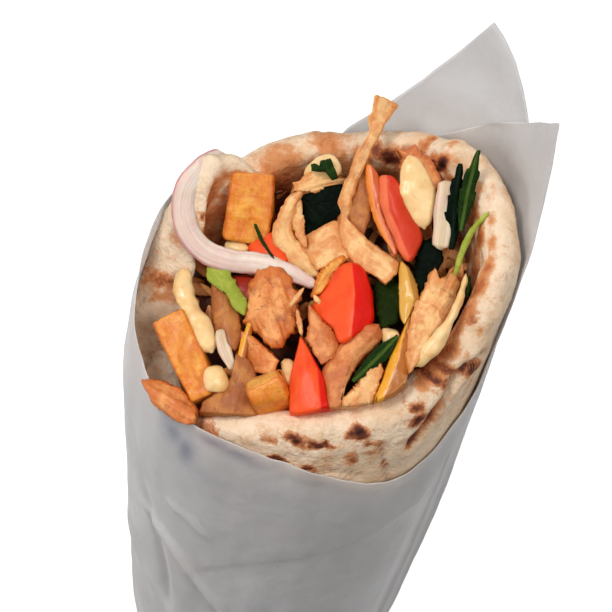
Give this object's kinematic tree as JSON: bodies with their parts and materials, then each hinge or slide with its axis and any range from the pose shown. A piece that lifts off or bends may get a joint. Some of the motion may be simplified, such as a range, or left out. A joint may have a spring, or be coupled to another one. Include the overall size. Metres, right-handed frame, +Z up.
{
  "type": "gyro wrap",
  "caption": "Rolled pita wrap in a white paper sheet, open at one end to show chicken, fries, tomato, onion, pepper, herbs and sauce.",
  "frame": {"origin": "middle of the footprint, on the surface that the wrap lies on", "axes": "+Y along the wrap from the folded tail to the open mouth, +Z up out of the side that shows, +X to the right seen from above with the mouth at the top"},
  "size_m": [0.0832, 0.2176, 0.0644],
  "materials": {
    "bread": "matte baked crust with brown spots",
    "paper": "thin greaseproof sheet",
    "chicken": "moist roasted meat",
    "fries": "fried, slightly oily",
    "tomato": "wet skin and flesh",
    "onion": "wet, slightly translucent",
    "pepper": "wet skin",
    "leaf": "dark fresh leaf",
    "lettuce": "fresh leaf",
    "sauce": "creamy"
  },
  "bodies": {
    "root": {"chicken_back": "chicken", "chicken_brown": "chicken", "chicken_chunk": "chicken", "chicken_crescent": "chicken", "chicken_fibrous": "chicken", "chicken_flaked": "chicken", "chicken_left": "chicken", "chicken_long": "chicken", "chicken_middle": "chicken", "chicken_point": "chicken", "chicken_skin": "chicken", "chicken_slab": "chicken", "chicken_thick": "chicken", "chicken_triangle": "chicken", "dill_sprig": "leaf", "filling_core": "chicken", "fry_back": "fries", "fry_front": "fries", "fry_left": "fries", "leaf_blade": "leaf", "leaf_dark": "leaf", "leaf_olive": "leaf", "leaf_right": "leaf", "leaf_strip": "leaf", "leaf_teal": "leaf", "leaf_tip": "leaf", "leaf_top": "leaf", "lettuce_left": "lettuce", "onion_ring": "onion", "onion_sliver": "onion", "onion_strip": "onion", "paper": "paper", "pepper_back": "pepper", "pepper_front": "pepper", "pepper_olive": "pepper", "pepper_strip": "pepper", "pita": "bread", "sauce_back": "sauce", "sauce_blob": "sauce", "sauce_dab": "sauce", "sauce_left": "sauce", "sauce_low": "sauce", "sauce_petal": "sauce", "sauce_speck": "sauce", "sauce_trail": "sauce", "stem": "leaf", "tomato_back": "tomato", "tomato_front": "tomato", "tomato_left": "tomato", "tomato_low": "tomato", "tomato_middle": "tomato"}
  },
  "joints": []
}
